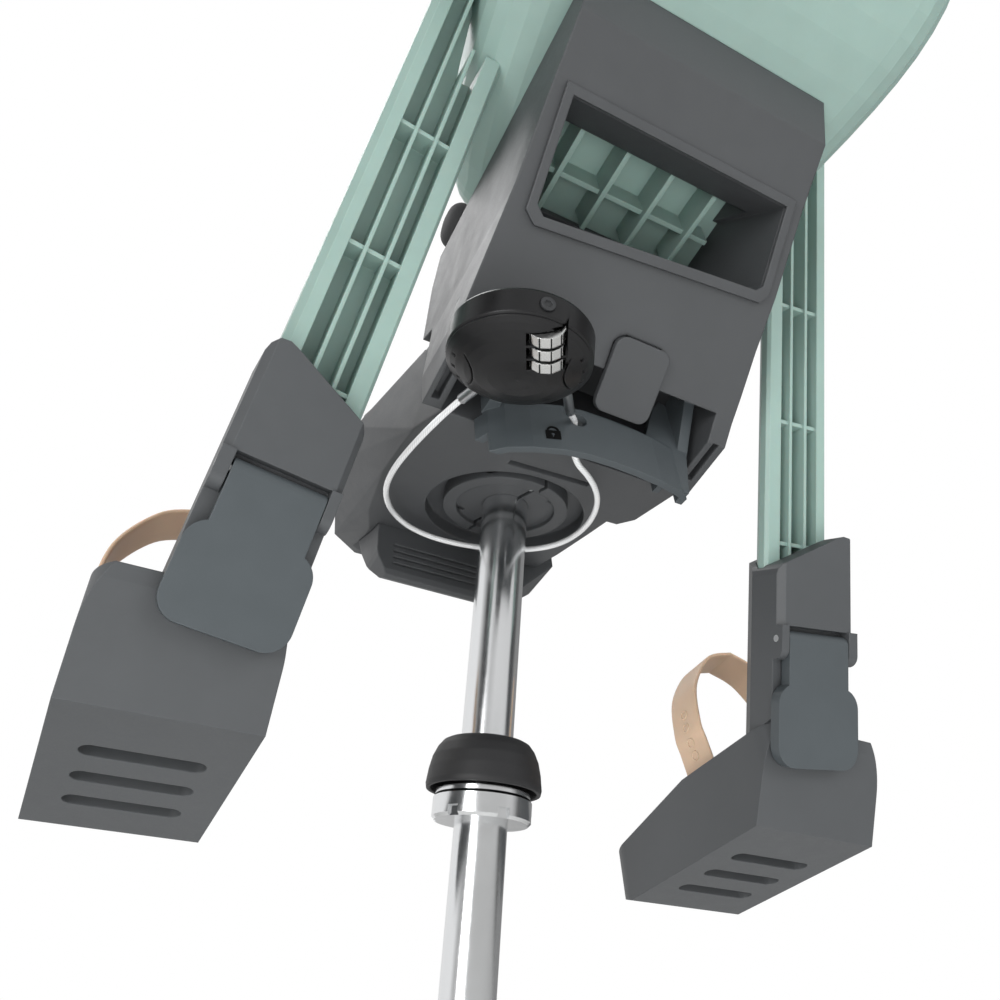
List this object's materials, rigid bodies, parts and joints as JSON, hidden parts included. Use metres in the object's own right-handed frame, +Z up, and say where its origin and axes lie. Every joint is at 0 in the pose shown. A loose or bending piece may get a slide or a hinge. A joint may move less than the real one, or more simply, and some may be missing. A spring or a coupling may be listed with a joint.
{
  "type": "front-mounted child bicycle seat",
  "caption": "Bucket seat for a small child on a short inclined mounting post, with ribbed leg guards, sliding footrests, a harness and a hanging combination lock.",
  "frame": {"origin": "on the mounting post axis, at the underside of its lock nut", "axes": "+Z up, the child faces -Y, the child's left is +X; the post leans back 15 degrees"},
  "size_m": [0.34, 0.4468, 0.669],
  "materials": {
    "post_chrome": "bright polished tube",
    "steel": "plain turned steel",
    "print_black": "matt black printed pictogram",
    "boot_rubber": "soft moulded rubber, satin",
    "base_plastic": "fine-textured grey moulding",
    "handle_plastic": "fine-textured grey moulding",
    "dark_plastic": "dark moulding",
    "shell_mint": "pale mint moulding, satin",
    "foot_plastic": "fine-textured grey moulding",
    "strap_rubber": "pale cream elastic rubber",
    "lock_black": "satin black lock body",
    "dial_metal": "polished number wheels",
    "wire_coat": "clear-coated bright wire",
    "cushion_fabric": "woven grey cover",
    "pad_fabric": "woven grey cover",
    "webbing": "black woven webbing",
    "button_red": "red press button",
    "grip_foam": "dark foam sleeve"
  },
  "bodies": {
    "seat": {"mounting_post": "post_chrome", "quill_wedge": "steel", "quill_bolt": "steel", "post_boot": "boot_rubber", "post_nut": "post_chrome", "clamp_half_left": "base_plastic", "clamp_half_right": "base_plastic", "clamp_bolt_front": "steel", "clamp_bolt_rear": "steel", "base_housing": "base_plastic", "front_bumper": "base_plastic", "base_console": "base_plastic", "console_fascia": "base_plastic", "seat_shell": "shell_mint", "shell_rim": "shell_mint", "pan_ribs": "shell_mint", "seat_bolts": "steel", "left_leg": "shell_mint", "right_leg": "shell_mint", "handle_pins": "steel", "handle_spring": "steel", "tab_pin": "steel", "seat_cushion": "cushion_fabric", "back_cushion": "cushion_fabric", "left_shoulder_strap": "webbing", "right_shoulder_strap": "webbing", "left_shoulder_pad": "pad_fabric", "right_shoulder_pad": "pad_fabric", "crotch_strap": "webbing", "buckle_body": "dark_plastic", "buckle_tongues": "dark_plastic", "grip_posts": "base_plastic", "grip_pad": "grip_foam"},
    "handle": {"release_handle": "handle_plastic", "handle_symbol": "print_black", "lock_back_shell": "lock_black", "lock_front_shell": "lock_black", "dial_axle": "steel", "wire_ferrule": "steel", "wire_plug": "steel", "lock_wire": "wire_coat"},
    "safety_tab": {"safety_tab": "base_plastic"},
    "dial_a": {"dial_a": "dial_metal"},
    "dial_b": {"dial_b": "dial_metal"},
    "dial_c": {"dial_c": "dial_metal"},
    "lock_button": {"lock_button": "dark_plastic"},
    "buckle_button": {"buckle_button": "button_red"},
    "left_foot": {"left_footrest": "foot_plastic", "left_flap_pin": "steel", "left_foot_tray": "foot_plastic", "left_foot_strap": "strap_rubber", "left_strap_studs": "dark_plastic"},
    "right_foot": {"right_footrest": "foot_plastic", "right_flap_pin": "steel", "right_foot_tray": "foot_plastic", "right_foot_strap": "strap_rubber", "right_strap_studs": "dark_plastic"},
    "left_flap": {"left_flap": "handle_plastic"},
    "right_flap": {"right_flap": "handle_plastic"}
  },
  "joints": [
    {"name": "handle_pull", "type": "hinge", "parent": "seat", "child": "handle", "pos_m": [-0.005, 0.12882, 0.15889], "axis": [1, 0, 0], "range_deg": [0, 8], "stiffness_Nm_per_rad": 1, "springref_deg": -17.19},
    {"name": "tab_press", "type": "hinge", "parent": "seat", "child": "safety_tab", "pos_m": [-0.0105, 0.14782, 0.15639], "axis": [1, 0, 0], "range_deg": [-10, 0], "stiffness_Nm_per_rad": 0.05, "springref_deg": 17.19},
    {"name": "left_foot_height", "type": "slide", "parent": "seat", "child": "left_foot", "axis": [-0.126, 0.5094, 0.8512], "range_m": [-0.01, 0.038]},
    {"name": "left_flap_lift", "type": "hinge", "parent": "left_foot", "child": "left_flap", "pos_m": [0.12121, 0.09354, 0.06291], "axis": [0.992, 0.0647, 0.1081], "range_deg": [0, 60]},
    {"name": "right_foot_height", "type": "slide", "parent": "seat", "child": "right_foot", "axis": [0.126, 0.5094, 0.8512], "range_m": [-0.01, 0.038]},
    {"name": "right_flap_lift", "type": "hinge", "parent": "right_foot", "child": "right_flap", "pos_m": [-0.12121, 0.09354, 0.06291], "axis": [0.992, -0.0647, -0.1081], "range_deg": [0, 60]},
    {"name": "dial_a_turn", "type": "hinge", "parent": "handle", "child": "dial_a", "pos_m": [0.04709, 0.1569, 0.10216], "axis": [0.4925, 0.8699, -0.0267], "continuous": true},
    {"name": "dial_b_turn", "type": "hinge", "parent": "handle", "child": "dial_b", "pos_m": [0.0499, 0.16186, 0.10201], "axis": [0.4925, 0.8699, -0.0267], "continuous": true},
    {"name": "dial_c_turn", "type": "hinge", "parent": "handle", "child": "dial_c", "pos_m": [0.05271, 0.16681, 0.10185], "axis": [0.4925, 0.8699, -0.0267], "continuous": true},
    {"name": "lock_button_press", "type": "slide", "parent": "handle", "child": "lock_button", "axis": [-0.1392, -0.9423, 0.3044], "range_m": [0, 0.0015], "stiffness_N_per_m": 300, "springref_m": -0.002},
    {"name": "buckle_press", "type": "slide", "parent": "seat", "child": "buckle_button", "axis": [0, 0, -1], "range_m": [0, 0.002], "stiffness_N_per_m": 300, "springref_m": -0.002}
  ]
}
